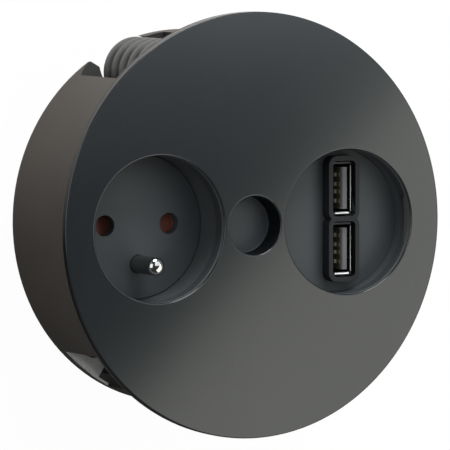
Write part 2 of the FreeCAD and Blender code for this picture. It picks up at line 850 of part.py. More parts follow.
def retaining_clip(angle):
    """A spring leaf: a wide foot on the back cover, an upright leg and a barb that grips the desk."""
    inner, outer, t = clip_inner_r, clip_outer_r, clip_t
    crest, barb = inner + clip_crest, inner + clip_barb_in
    profile = [(inner, back_t), (inner, clip_top_z), (crest, clip_top_z),
               (clip_tip_r, clip_tip_z), (inner + clip_barb_root, clip_bend_z),
               (barb, clip_bend_z + t), (clip_tip_r - clip_barb_root, clip_tip_z),
               (crest, clip_top_z - t), (inner + t, clip_top_z - t), (inner + t, back_t)]
    corners = [V(r, -clip_half, z) for r, z in profile]
    leg = Part.Face(Part.makePolygon(corners + corners[:1])).extrude(V(0, 2 * clip_half, 0))
    side = clip_slot_half - math.degrees(clip_lip_gap / barrel_r)
    foot = wedge(inner, outer, -side, side, back_t, back_t + t)
    lip = wedge(barrel_r - clip_recess + clip_lip_gap, barrel_r, side - clip_recess_angle / 2,
                clip_slot_half + clip_recess_angle - clip_lip_short, back_t, back_t + t)
    clip = leg.fuse([foot, lip]).removeSplitter()
    clip = clip.cut(rod(screw_r + hole_gap, back_t, back_t + t, clip_screw_at))
    clip.rotate(V(0, 0, 0), V(0, 0, 1), angle)
    return clip


def clip_screws():
    screws = []
    for angle in clip_angles:
        x, y = polar(clip_screw_at, angle)
        head_low = back_t + clip_t
        screws.append(join(rod(clip_head_r, head_low, head_low + clip_head_t, x, y),
                           [rod(screw_r, head_low - clip_screw_l, head_low, x, y)]))
    return group(screws)


def desk_gasket():
    return tube(gasket_r[1], gasket_r[0], flange_low - gasket_t, flange_low)


far_contact = -well_x - pin_pitch / 2
near_contact = -well_x + pin_pitch / 2
line_route = [(-8, block_y[1]), (-8, -25), (-15, -21.5), (-30, -16.5), (far_contact, -10),
              (far_contact, contact_y)]
neutral_route = [(-4, block_y[1]), (-4, -20), (-8, -13), (near_contact, -7),
                 (near_contact, contact_y)]
supply_routes = ([(4, block_y[1]), (4, -23.5), (14, -19.5), (17, -10)],
                 [(8, block_y[1]), (8, -25.5), (19, -21), (22, -12.5)])
supply_top = power_z + board_t + lead_end

os.makedirs("parts", exist_ok=True)
save("cover_plate", cover_plate())
save("finger_cup", finger_cup())
save("pivot_screw", pivot_screw())
save("retaining_washer", retaining_washer())
save("detent_spring", detent_spring())
save("casing", casing())
save("back_cover", back_cover())
save("case_screws", case_screws())
save("deck_screws", deck_screws())
save("carrier", carrier())
save("mains_liner", mains_liner())
save("usb_liner", usb_liner())
save("liner_screws", liner_screws())
save("socket_floor", socket_floor())
save("socket_body", socket_body())
save("socket_screws", socket_screws())
save("shutter", shutter())
save("shutter_spring", shutter_spring())
save("far_contact", contacts(-1))
save("near_contact", contacts(1))
save("earth_pin", earth_pin())
save("earth_strap", earth_strap())
save("usb_bezel", usb_bezel())
for number, middle_y in enumerate(port_ys, 1):
    save("usb_shell_%d" % number, usb_shell(middle_y))
    save("usb_tongue_%d" % number, usb_tongue(middle_y))
    save("usb_contacts_%d" % number, usb_contacts(middle_y))
save("usb_board", usb_board())
save("power_board", power_board())
save("transformer", transformer_coil())
save("capacitors", capacitors())
save("board_link", board_link())
save("terminal_block", terminal_block())
save("terminal_screws", terminal_screws())
save("line_wire", wire(line_route, contact_z))
save("neutral_wire", wire(neutral_route, contact_z))
save("supply_wires", group([wire(route, supply_top) for route in supply_routes]))
save("gland_sleeve", gland_sleeve())
save("gland_plate", gland_plate())
save("gland_screws", gland_screws())
for number, at_angle in enumerate(clip_angles, 1):
    save("retaining_clip_%d" % number, retaining_clip(at_angle))
save("clip_screws", clip_screws())
save("desk_gasket", desk_gasket())
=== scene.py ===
"""The in-desk power socket, dressed for its picture: a satin turning cover over two wells, a
taupe moulded casing with its slots, the ribbed gland sleeve, and the metal of pin and ports."""
import bpy
import bmesh
import math
from mathutils import Matrix, Vector

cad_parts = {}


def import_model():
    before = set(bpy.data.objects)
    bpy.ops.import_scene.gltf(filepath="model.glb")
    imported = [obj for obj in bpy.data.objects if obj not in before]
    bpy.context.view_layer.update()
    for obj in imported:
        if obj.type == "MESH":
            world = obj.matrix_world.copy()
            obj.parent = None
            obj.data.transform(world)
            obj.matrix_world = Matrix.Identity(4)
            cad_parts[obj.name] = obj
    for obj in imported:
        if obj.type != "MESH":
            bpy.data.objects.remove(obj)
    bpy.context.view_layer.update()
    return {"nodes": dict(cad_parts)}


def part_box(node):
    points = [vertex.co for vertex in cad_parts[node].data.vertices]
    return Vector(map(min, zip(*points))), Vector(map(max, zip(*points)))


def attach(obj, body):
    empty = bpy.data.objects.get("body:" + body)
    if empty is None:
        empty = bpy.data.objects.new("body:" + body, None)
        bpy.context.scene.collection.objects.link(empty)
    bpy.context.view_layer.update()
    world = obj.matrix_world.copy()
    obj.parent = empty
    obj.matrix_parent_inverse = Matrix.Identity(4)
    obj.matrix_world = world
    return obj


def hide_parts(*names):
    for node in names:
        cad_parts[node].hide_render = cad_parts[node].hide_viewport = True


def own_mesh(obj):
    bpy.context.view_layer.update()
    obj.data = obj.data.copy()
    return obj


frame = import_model()


def middle(node):
    """The middle of a node's box."""
    return [(low + high) / 2 for low, high in zip(*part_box(node))]


# Sizes in metres, read off the frame where a node holds them
MM = 0.001
COVER_LOW, COVER_TOP = (corner.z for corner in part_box("cover_plate"))
COVER_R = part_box("cover_plate")[1].x
BARREL_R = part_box("back_cover")[1].x
DECK_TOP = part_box("carrier")[1].z
SOCKET_FLOOR_LOW, SOCKET_FLOOR = (corner.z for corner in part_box("socket_floor"))
USB_FLOOR = COVER_TOP - 8.0 * MM
BLOCK_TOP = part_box("usb_bezel")[1].z
WELL_X = -middle("socket_body")[0]
WELL_R = 19.2 * MM
FINGER_R = 7.73 * MM
EDGE = 0.35 * MM
HOLE_EDGE = 0.42 * MM
ROUND_STEPS = 256
FINE_STEPS = 128
SMALL_STEPS = 64

# The camera, as fitted to the photograph
PHOTO_SIZE = 450
FOCAL_PX = 5728.75
CAMERA_DISTANCE = 1.5
YAW = math.radians(29.43)
PITCH = math.radians(4.23)
COVER_CENTRE_PX = (255.17, 225.62)
AIM_PX = [PHOTO_SIZE / 2 - pixel for pixel in COVER_CENTRE_PX]
SENSOR = 36.0


def camera():
    """A long lens up and to the left of the cover's normal, with +Y up in the picture."""
    back = Vector((-math.sin(YAW) * math.cos(PITCH), math.sin(PITCH),
                   math.cos(YAW) * math.cos(PITCH)))
    right = Vector((math.cos(YAW), 0, math.sin(YAW)))
    up = back.cross(right)
    face = Vector((0, 0, COVER_TOP))
    eye = face + back * CAMERA_DISTANCE
    scale = CAMERA_DISTANCE / FOCAL_PX
    aim = face + right * AIM_PX[0] * scale - up * AIM_PX[1] * scale
    back = (eye - aim).normalized()
    right = up.cross(back).normalized()
    up = back.cross(right)
    data = bpy.data.cameras.new("camera")
    data.sensor_width = SENSOR
    data.lens = FOCAL_PX / PHOTO_SIZE * SENSOR
    data.clip_end = 20
    made = bpy.data.objects.new("camera", data)
    made.matrix_world = Matrix.Translation(eye) @ Matrix((right, up, back)).transposed().to_4x4()
    bpy.context.scene.collection.objects.link(made)
    bpy.context.scene.camera = made


camera()
bpy.context.scene.view_settings.view_transform = "Standard"


# Materials

class Surface:
    """A Principled material with the few node steps that the finishes share."""

    def __init__(self, name, rough, metal=0.0, **sockets):
        self.material = bpy.data.materials.new(name)
        self.material.use_nodes = True
        self.tree = self.material.node_tree
        self.shader = self.tree.nodes["Principled BSDF"]
        self.shader.inputs["Roughness"].default_value = rough
        self.shader.inputs["Metallic"].default_value = metal
        for socket, value in sockets.items():
            self.shader.inputs[socket.replace("_", " ")].default_value = value
        self.place = self.tree.nodes.new("ShaderNodeTexCoord").outputs["Object"]

    def stretched(self, scale):
        mapping = self.tree.nodes.new("ShaderNodeMapping")
        mapping.inputs["Scale"].default_value = scale
        self.tree.links.new(self.place, mapping.inputs["Vector"])
        return mapping.outputs["Vector"]

    def noise(self, scale, detail=3.0, vector=None):
        made = self.tree.nodes.new("ShaderNodeTexNoise")
        made.inputs["Scale"].default_value = scale
        made.inputs["Detail"].default_value = detail
        self.tree.links.new(vector or self.place, made.inputs["Vector"])
        return made.outputs["Fac"]

    def color(self, fac, low, high, start=0.35, end=0.65):
        made = self.tree.nodes.new("ShaderNodeValToRGB")
        first, last = made.color_ramp.elements
        first.position, first.color = start, (*low, 1)
        last.position, last.color = end, (*high, 1)
        self.tree.links.new(fac, made.inputs["Fac"])
        self.tree.links.new(made.outputs["Color"], self.shader.inputs["Base Color"])
        return self

    def rough(self, fac, low, high):
        made = self.tree.nodes.new("ShaderNodeMapRange")
        made.inputs["To Min"].default_value = low
        made.inputs["To Max"].default_value = high
        self.tree.links.new(fac, made.inputs["Value"])
        self.tree.links.new(made.outputs["Result"], self.shader.inputs["Roughness"])
        return self

    def bump(self, fac, strength, distance):
        made = self.tree.nodes.new("ShaderNodeBump")
        made.inputs["Strength"].default_value = strength
        made.inputs["Distance"].default_value = distance
        self.tree.links.new(fac, made.inputs["Height"])
        self.tree.links.new(made.outputs["Normal"], self.shader.inputs["Normal"])
        return self


DRIFT_SCALE = 35.0
GRAIN_STRENGTH = 0.35
LINE_STRENGTH = 0.15
LINE_DEPTH = 0.02 * MM
SMOOTHER = 0.05
GRAIN_ROUGHER = 0.06
LINE_ROUGHER = 0.08


def grained(name, low, high, rough, grain, depth, **sockets):
    """A moulded or coated finish: slow colour drift, fine grain and roughness that follows it."""
    surface = Surface(name, rough, **sockets)
    surface.color(surface.noise(DRIFT_SCALE), low, high)
    fine = surface.noise(grain)
    surface.rough(fine, rough - SMOOTHER, rough + GRAIN_ROUGHER)
    return surface.bump(fine, GRAIN_STRENGTH, depth).material


def drawn(name, low, high, rough, along, metal=1.0):
    """Metal with fine lines along one axis."""
    surface = Surface(name, rough, metal)
    lines = surface.noise(1.0, detail=4.0, vector=surface.stretched(along))
    surface.color(lines, low, high)
    surface.rough(lines, rough - SMOOTHER, rough + LINE_ROUGHER)
    return surface.bump(lines, LINE_STRENGTH, LINE_DEPTH).material


ANODISED = grained("satin_anthracite", (0.0100, 0.0135, 0.0158), (0.0120, 0.0155, 0.0178),
                   rough=0.17, grain=5200.0, depth=0.002 * MM)
# Near black for the cover's outer side: painted shade, where the side is turned from the lamps.
COVER_SIDE_SHADE = grained("cover_side_painted_shade", (0.003, 0.004, 0.005), (0.005, 0.006, 0.007),
                     rough=0.2, grain=5200.0, depth=0.002 * MM)
# A light grey for the wells' hole walls in the cover and the casing wall behind the charger well's
# pocket: painted light.
PAINTED_LIGHT_GREY = grained("cover_wall_painted_light", (0.10, 0.102, 0.10), (0.115, 0.117, 0.115),
                    rough=0.4, grain=5200.0, depth=0.002 * MM)
# Near black for the finger cup's wall and the cover's wall round it: painted shade.
CUP_PAINTED_SHADE = grained("cup_wall_painted_shade", (0.003, 0.004, 0.005), (0.005, 0.006, 0.007),
                    rough=0.5, grain=3600.0, depth=0.01 * MM, Specular_IOR_Level=0.12)
TAUPE = grained("moulded_taupe", (0.092, 0.082, 0.073), (0.104, 0.093, 0.083),
                rough=0.62, grain=2600.0, depth=0.03 * MM, Specular_IOR_Level=0.22)
# A darker copy of the taupe for the casing's inside: painted shade.
TAUPE_PAINTED_SHADE = grained("moulded_taupe_painted_shade", (0.032, 0.032, 0.033), (0.038, 0.038, 0.039),
                      rough=0.6, grain=2600.0, depth=0.03 * MM, Specular_IOR_Level=0.2)
WELL_GREY = grained("moulded_graphite", (0.034, 0.040, 0.045), (0.038, 0.045, 0.050),
                    rough=0.55, grain=3600.0, depth=0.02 * MM, Specular_IOR_Level=0.3)
# A lighter copy of the well grey for the wells' walls: painted light.
WALL_GREY_PAINTED_LIGHT = grained("well_wall_grey_painted_light", (0.052, 0.058, 0.062), (0.058, 0.064, 0.068),
                    rough=0.55, grain=3600.0, depth=0.02 * MM, Specular_IOR_Level=0.3)
BLOCK_GREY = grained("port_block_grey", (0.010, 0.012, 0.014), (0.012, 0.014, 0.016),
                     rough=0.6, grain=3600.0, depth=0.02 * MM, Specular_IOR_Level=0.2)
FOAM = grained("gasket_foam", (0.02, 0.02, 0.02), (0.035, 0.035, 0.035),
               rough=0.9, grain=4200.0, depth=0.15 * MM)
SHUTTER_BROWN = grained("shutter_brown", (0.21, 0.065, 0.042), (0.26, 0.08, 0.052),
                        rough=0.45, grain=2500.0, depth=0.03 * MM)
INNER_WHITE = grained("inner_moulding", (0.42, 0.41, 0.38), (0.5, 0.49, 0.46),
                      rough=0.55, grain=2200.0, depth=0.03 * MM)
# Near black for the insides of the ports' openings: partly their black mount, partly painted
# shade.
PORT_BLACK_AND_SHADE = grained("port_black_and_painted_shade", (0.006, 0.006, 0.007), (0.009, 0.009, 0.010),
                     rough=0.12, grain=3000.0, depth=0.01 * MM)
TONGUE = grained("port_tongue", (0.098, 0.1, 0.102), (0.118, 0.12, 0.122),
                 rough=0.6, grain=3000.0, depth=0.02 * MM, Specular_IOR_Level=0.15)
# A darker copy of the tongue's grey for its slope: painted shade.
TONGUE_SLOPE_SHADE = grained("port_tongue_slope", (0.05, 0.05, 0.056), (0.065, 0.065, 0.072),
                       rough=0.6, grain=3000.0, depth=0.02 * MM, Specular_IOR_Level=0.15)
TONGUE_SIDE = grained("port_tongue_side", (0.07, 0.066, 0.04), (0.09, 0.085, 0.052),
                      rough=0.6, grain=3000.0, depth=0.02 * MM, Specular_IOR_Level=0.15)
LAMINATE = grained("board_laminate", (0.01, 0.07, 0.03), (0.016, 0.095, 0.04),
                   rough=0.35, grain=1500.0, depth=0.03 * MM)
SHEATH = grained("wire_sheath", (0.02, 0.03, 0.11), (0.03, 0.045, 0.15),
                 rough=0.4, grain=1800.0, depth=0.02 * MM)
NICKEL = drawn("nickel_plate", (0.36, 0.36, 0.36), (0.44, 0.44, 0.44),
               rough=0.08, along=(900, 900, 60))
STEEL = drawn("zinc_steel", (0.42, 0.42, 0.42), (0.55, 0.55, 0.55),
              rough=0.28, along=(1500, 1500, 80))
LEAF_STEEL = drawn("leaf_steel", (0.33, 0.33, 0.32), (0.42, 0.42, 0.41),
                   rough=0.34, along=(1800, 1800, 90))
# A light metal for the lower and right lips of the ports' mouths: painted highlight.
PORT_HIGHLIGHT = drawn("port_shell_lip", (0.72, 0.72, 0.73), (0.85, 0.85, 0.86),
                   rough=0.3, along=(1200, 1200, 70))
# A near black copy of the shell's metal: painted shade.
PORT_SHADE = drawn("port_shell", (0.015, 0.015, 0.017), (0.022, 0.022, 0.024),
                   rough=0.25, along=(1200, 1200, 70))
BRASS = drawn("stamped_brass", (0.55, 0.4, 0.14), (0.68, 0.5, 0.2),
              rough=0.25, along=(1500, 1500, 90))
# A light gilt for the crest of each contact's bow: painted highlight; the rest of the leaves have
# a dark copy, painted shade.
GILT_HIGHLIGHT = drawn("gilt_contact_painted_highlight", (0.78, 0.70, 0.45), (0.88, 0.80, 0.55),
             rough=0.35, along=(1500, 1500, 90), metal=0.45)
GILT_SHADE = drawn("gilt_shade", (0.10, 0.095, 0.055), (0.13, 0.12, 0.07),
                   rough=0.4, along=(1500, 1500, 90), metal=0.3)
CLIP_STEEL = drawn("clip_steel", (0.5, 0.5, 0.49), (0.64, 0.64, 0.63),
                   rough=0.5, along=(1800, 1800, 90), metal=0.35)
BLACK_STEEL = drawn("blackened_steel", (0.02, 0.02, 0.02), (0.03, 0.03, 0.03),
                    rough=0.4, along=(1500, 1500, 80))


# Modelling helpers

SHARP = math.radians(32)
LEVEL_NORMAL = 0.999
UPRIGHT_NORMAL = 0.1
NEAR = 0.05 * MM
MERGE_DISTANCE = 0.002 * MM
CAD_MERGE_DISTANCE = 0.005 * MM


def new_piece(name, bm, material, body, node, even=False):
    """Turns a bmesh into a finished piece that rides on a body and stands for a node."""
    bmesh.ops.remove_doubles(bm, verts=bm.verts, dist=MERGE_DISTANCE)
    bmesh.ops.recalc_face_normals(bm, faces=bm.faces)
    for face in bm.faces:
        face.smooth = even or abs(face.normal.z) < LEVEL_NORMAL
    for edge in bm.edges:
        if len(edge.link_faces) == 2 and edge.calc_face_angle(0) > SHARP:
            edge.smooth = False
    mesh = bpy.data.meshes.new(name)
    bm.to_mesh(mesh)
    bm.free()
    mesh.materials.append(material)
    piece = bpy.data.objects.new(name, mesh)
    bpy.context.scene.collection.objects.link(piece)
    if even:
        piece.modifiers.new("even_shading", "WEIGHTED_NORMAL").keep_sharp = True
    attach(piece, body)
    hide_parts(node)
    return piece


def eased(name, node, material, width=0.15 * MM, body="casing_body", picked=None):
    """A copy of a node's own shape with its sharp edges rounded, which stands for the node."""
    bm = bmesh.new()
    bm.from_mesh(frame["nodes"][node].data)
    bmesh.ops.remove_doubles(bm, verts=bm.verts, dist=CAD_MERGE_DISTANCE)
    sharp = [e for e in bm.edges if e.calc_face_angle(0) > SHARP and (not picked or picked(e))]
    bmesh.ops.bevel(bm, geom=sharp, offset=width, offset_type="OFFSET", segments=3, profile=0.5,
                    affect="EDGES", clamp_overlap=True, material=-1)
    return new_piece(name, bm, material, body, node, even=True)


def finish_faces(piece, material, picked):
    """Gives a finish of their own to the faces that the test picks."""
    piece.data.materials.append(material)
    for face in piece.data.polygons:
        if picked(face):
            face.material_index = len(piece.data.materials) - 1


def circle(bm, r, z, x=0.0, y=0.0, steps=ROUND_STEPS):
    """The edges of a circle, always in the same order."""
    made = bmesh.ops.create_circle(bm, segments=steps, radius=r,
                                   matrix=Matrix.Translation((x, y, z)))
    return list(dict.fromkeys(edge for vert in made["verts"] for edge in vert.link_edges))


def corners(loop):
    """The vertices of a loop of edges, each once and always in the same order."""
    return list(dict.fromkeys(vert for edge in loop for vert in edge.verts))


def rim(bm, profile, x=0.0, y=0.0, steps=ROUND_STEPS):
    """Joins circles of the profile's (radius, level) pairs; gives the first and last of them."""
    loops = [circle(bm, r, z, x, y, steps) for r, z in profile]
    for near, far in zip(loops, loops[1:]):
        bmesh.ops.bridge_loops(bm, edges=near + far)
    return loops[0], loops[-1]


def quarter(r, z, out, size, steps=4):
    """Points of a rounded upper edge: from (r, z - size) round to (r - out * size, z)."""
    points = []
    for i in range(steps + 1):
        turn = math.pi / 2 * i / steps
        points.append((r - out * size * (1 - math.cos(turn)), z - size * (1 - math.sin(turn))))
    return points


def fill(bm, edges):
    bmesh.ops.triangle_fill(bm, use_beauty=True, use_dissolve=False, edges=edges)


def plate(bm, outer_r, holes, low, top, edge, hole_edge, x=0.0):
    """A round plate with round holes and softened upper edges, closed all over."""
    lows, tops = [], []
    first, last = rim(bm, [(outer_r, low)] + quarter(outer_r, top, 1, edge), x)
    lows += first
    tops += last
    for hole_x, hole_y, hole_r, steps in holes:
        first, last = rim(bm, [(hole_r, low)] + quarter(hole_r, top, -1, hole_edge),
                          hole_x, hole_y, steps)
        lows += first
        tops += last
    fill(bm, lows)
    fill(bm, tops)


def lathe(bm, profile, x=0.0, y=0.0, steps=ROUND_STEPS):
    """Spins a closed or axis-to-axis profile of (radius, level) pairs about an upright axis."""
    verts = [bm.verts.new((x + r, y, z)) for r, z in profile]
    edges = [bm.edges.new(pair) for pair in zip(verts, verts[1:])]
    bmesh.ops.spin(bm, geom=verts + edges, cent=(x, y, 0), axis=(0, 0, 1), angle=math.tau,
                   steps=steps, use_merge=True)


def boxed(bm, half_x, half_y, corner, z, x, y, steps=32):
    """A rectangle's outline with round corners: a circle whose quarters are moved apart."""
    loop = circle(bm, corner, z, steps=steps)
    half_step = Matrix.Rotation(math.pi / steps, 3, "Z")
    bmesh.ops.rotate(bm, verts=corners(loop), cent=(0, 0, z), matrix=half_step)
    for vert in corners(loop):
        vert.co.x += x + math.copysign(half_x - corner, vert.co.x)
        vert.co.y += y + math.copysign(half_y - corner, vert.co.y)
    return loop


def polar(r, degrees):
    return r * math.cos(math.radians(degrees)), r * math.sin(math.radians(degrees))


# The cover and its finger cup

def upright_between(nearest, farthest):
    """A test that picks upright faces by their distance from the cover's axis."""
    def picked(face):
        upright = abs(face.normal.z) < UPRIGHT_NORMAL
        return upright and nearest <= face.center.xy.length <= farthest
    return picked


def cover():
    """The holed plate; its outer side and the finger hole's wall are near black, painted shade,
    and the wells' hole walls light grey, painted light.
    """
    bm = bmesh.new()
    holes = [(0, 0, FINGER_R, FINE_STEPS)]
    holes += [(side * WELL_X, 0, WELL_R, ROUND_STEPS) for side in (-1, 1)]
    plate(bm, COVER_R, holes, COVER_LOW, COVER_TOP, EDGE, HOLE_EDGE)
    face_plate = new_piece("cover_face", bm, ANODISED, "cover_body", "cover_plate")
    # Painted shade on the cover's outer side.
    finish_faces(face_plate, COVER_SIDE_SHADE, upright_between(COVER_R - MM, COVER_R + MM))
    # Painted light on the wells' hole walls.
    finish_faces(face_plate, PAINTED_LIGHT_GREY, upright_between(FINGER_R + MM, COVER_R - MM))
    # Painted shade on the finger hole's wall.
    finish_faces(face_plate, CUP_PAINTED_SHADE, upright_between(0, FINGER_R + MM))


def finger_cup():
    """A matte floor that curves up into a near black wall, painted shade, on its spindle."""
    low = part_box("finger_cup")[0].z
    wall = 0.4 * MM
    floor = COVER_TOP - 6.3 * MM
    brim = COVER_TOP - 3.0 * MM
    inner = FINGER_R - 0.02 * MM
    under = floor - 1.0 * MM
    spindle = 4.0 * MM
    curve, curve_steps = 0.5 * MM, 6
    facing_up = 0.8
    corner = []
    for i in range(curve_steps + 1):
        turn = math.pi / 2 * i / curve_steps
        corner.append((inner - curve * (1 - math.sin(turn)), floor + curve * (1 - math.cos(turn))))
    bm = bmesh.new()
    lathe(bm, [(0, floor)] + corner + [(inner, brim), (FINGER_R, brim), (FINGER_R, COVER_LOW),
               (FINGER_R + wall, COVER_LOW), (FINGER_R + wall, under), (spindle, under),
               (spindle, low), (0, low)], steps=FINE_STEPS)
    cup = new_piece("finger_cup_turned", bm, CUP_PAINTED_SHADE, "cover_body", "finger_cup")
    # The floor faces get the well grey; the rest of the cup keeps the painted shade.
    finish_faces(cup, WELL_GREY,
                 lambda face: face.normal.z > facing_up and face.center.z < floor + curve)


cover()
finger_cup()


# The mouldings, with the edges that a mould leaves

def at_deck_top(edge):
    return min(vert.co.z for vert in edge.verts) > DECK_TOP - NEAR


def no_edge(edge):
    return False


def paint_shade_inside(moulding):
    """Gives all that lies inside the barrel's outer side, but the underside, a darker copy of the
    taupe: painted shade.

    The wall behind the pocket beside the charger well gets the light grey of the cover's hole
    walls: painted light.
    """
    inner_r = BARREL_R - 0.15 * MM
    pocket_half = 12 * MM
    facing_down, facing_left = -0.5, -0.8

    def inside(face):
        return face.center.xy.length < inner_r and face.normal.z > facing_down

    def behind_pocket(face):
        across = abs(face.center.y) < pocket_half and face.normal.x < facing_left
        return across and inside(face)

    # Painted shade on the inside faces.
    finish_faces(moulding, TAUPE_PAINTED_SHADE, inside)
    # Painted light on the wall behind the pocket.
    finish_faces(moulding, PAINTED_LIGHT_GREY, behind_pocket)


paint_shade_inside(eased("casing_moulding", "casing", TAUPE, width=0.2 * MM))
paint_shade_inside(eased("back_moulding", "back_cover", TAUPE))
eased("deck_moulding", "carrier", WELL_GREY, width=0.1 * MM, picked=at_deck_top)
# The well walls carry the painted light.
eased("well_wall_mains", "mains_liner", WALL_GREY_PAINTED_LIGHT, picked=no_edge)
eased("well_wall_usb", "usb_liner", WALL_GREY_PAINTED_LIGHT, picked=no_edge)
eased("gland_bridge", "gland_plate", INNER_WHITE, width=0.2 * MM)
eased("gasket_ring", "desk_gasket", FOAM, width=0.2 * MM)
eased("shutter_slide", "shutter", SHUTTER_BROWN, width=0.1 * MM, body="shutter_body")
for number in (1, 2):
    eased("clip_leaf_%d" % number, "retaining_clip_%d" % number, CLIP_STEEL, width=0.08 * MM)


def shutter_coil():
    """The shutter's spring, held at its far end, as a copy of the node's shape with a mesh of its
    own.
    """
    coil = eased("shutter_coil", "shutter_spring", LEAF_STEEL, picked=no_edge)
    low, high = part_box("shutter_spring")
    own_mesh(coil)


shutter_coil()


# The mains insert

PIN = middle("earth_pin")[:2]
PIN_R = 2.4 * MM
CONTACT_Y = middle("far_contact")[1]


def socket_floor():
    """The well's floor with its two contact holes and the close hole round the earth pin."""
    half_pitch, contact_r = 9.5 * MM, 2.75 * MM
    pin_hole_r = PIN_R + 0.05 * MM
    floor_r = WELL_R - 0.1 * MM
    bm = bmesh.new()
    holes = [(-WELL_X + side * half_pitch, CONTACT_Y, contact_r, SMALL_STEPS) for side in (-1, 1)]
    holes.append((*PIN, pin_hole_r, SMALL_STEPS))
    plate(bm, floor_r, holes, SOCKET_FLOOR_LOW, SOCKET_FLOOR, edge=0.3 * MM,
          hole_edge=0.15 * MM, x=-WELL_X)
    new_piece("socket_face", bm, WELL_GREY, "casing_body", "socket_floor")


def earth_pin():
    """A turned pin with a low dome, on a thicker shank with a head below."""
    low, top = (corner.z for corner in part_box("earth_pin"))
    shank, head, head_top = 2.9 * MM, 3.6 * MM, low + 1.0 * MM
    dome_height, dome_steps, round_steps = 1.5 * MM, 8, 96
    bm = bmesh.new()
    dome = [(0, top)]
    for i in range(1, dome_steps + 1):
        turn = math.pi / 2 * i / dome_steps
        dome.append((PIN_R * math.sin(turn), top - dome_height * (1 - math.cos(turn))))
    lathe(bm, [(0, low), (head, low), (head, head_top), (shank, head_top),
               (shank, SOCKET_FLOOR_LOW), (PIN_R, SOCKET_FLOOR_LOW)] + dome[::-1], *PIN,
          round_steps)
    new_piece("earth_pin_turned", bm, NICKEL, "casing_body", "earth_pin")


socket_floor()
earth_pin()


# The ribbed gland sleeve

def rubber_with_painted_groove_shade(x, y, outer, groove):
    """Pale grey rubber with painted shade that darkens it towards the bottom of its grooves."""
    black_share, pale_share = 0.62, 0.02
    black, pale = (0.004, 0.004, 0.004), (0.115, 0.113, 0.107)
    surface = Surface("rubber_with_painted_groove_shade", rough=0.5)
    flat = surface.tree.nodes.new("ShaderNodeMapping")
    flat.inputs["Location"].default_value = (-x, -y, 0)
    flat.inputs["Scale"].default_value = (1, 1, 0)
    away = surface.tree.nodes.new("ShaderNodeVectorMath")
    away.operation = "LENGTH"
    depth = surface.tree.nodes.new("ShaderNodeMapRange")
    depth.inputs["From Min"].default_value = outer - black_share * groove
    depth.inputs["From Max"].default_value = outer - pale_share * groove
    links = surface.tree.links
    links.new(surface.place, flat.inputs["Vector"])
    links.new(flat.outputs["Vector"], away.inputs[0])
    links.new(away.outputs["Value"], depth.inputs["Value"])
    # Black deep in the grooves and pale on the ribs: painted shade.
    surface.color(depth.outputs["Result"], black, pale, start=0.1, end=1.0)
    return surface.bump(surface.noise(scale=2200.0), GRAIN_STRENGTH, distance=0.04 * MM).material


def gland_sleeve():
    """Six full ribs, and above them the neck with the groove that the gland plate holds."""
    lowest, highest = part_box("gland_sleeve")
    low, top = lowest.z, highest.z
    sleeve_r = (highest.x - lowest.x) / 2
    x, y = middle("gland_sleeve")[:2]
    rib, groove, bore = 4.2 * MM, 1.3 * MM, 3.6 * MM
    ribbed_top = 25.8 * MM
    shoulder, neck, collar = 6.2 * MM, 5.0 * MM, 6.0 * MM
    neck_low, neck_top = 27.5 * MM, 31.0 * MM
    count, rib_steps = 6, 10
    fullness, rib_start, rib_share = 0.55, 0.03, 0.8
    bm = bmesh.new()
    profile = [(bore, low), (sleeve_r - groove, low)]
    for i in range(count):
        base = low + i * rib
        for step in range(rib_steps + 1):
            turn = math.pi * step / rib_steps
            profile.append((sleeve_r - groove + groove * math.sin(turn) ** fullness,
                            base + rib * (rib_start + rib_share * step / rib_steps)))
    profile += [(sleeve_r - groove, ribbed_top), (shoulder, ribbed_top), (shoulder, neck_low),
                (neck, neck_low), (neck, neck_top), (collar, neck_top),
                (collar, top), (bore, top), (bore, low)]
    lathe(bm, profile, x, y, FINE_STEPS)
    new_piece("gland_ribs", bm, rubber_with_painted_groove_shade(x, y, sleeve_r, groove), "casing_body",
              "gland_sleeve")


gland_sleeve()


# The USB insert

def usb_block():
    """The well's floor and the raised block, with two openings whose insides are near black,
    partly a black mount and partly painted shade.

    Below the floor's level all but the lower opening has the floor's finish.
    """
    around_x, around_y = 0.7 * MM, 0.9 * MM
    black_top = BLOCK_TOP - 0.4 * MM
    floor_top = USB_FLOOR + 0.1 * MM
    upper_shell, lower_shell = (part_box("usb_shell_%d" % number) for number in (1, 2))

    def in_opening(face, shell):
        low, high = shell
        x, y, z = face.center
        return (z < black_top and low.x - around_x < x < high.x + around_x
                and low.y - around_y < y < high.y + around_y)

    def black(face):
        return in_opening(face, upper_shell) or in_opening(face, lower_shell)

    def as_floor(face):
        return face.center.z < floor_top and not in_opening(face, lower_shell)

    block = eased("usb_block", "usb_bezel", BLOCK_GREY, width=0.45 * MM)
    # Black mount and painted shade inside the openings.
    finish_faces(block, PORT_BLACK_AND_SHADE, black)
    finish_faces(block, WELL_GREY, as_floor)


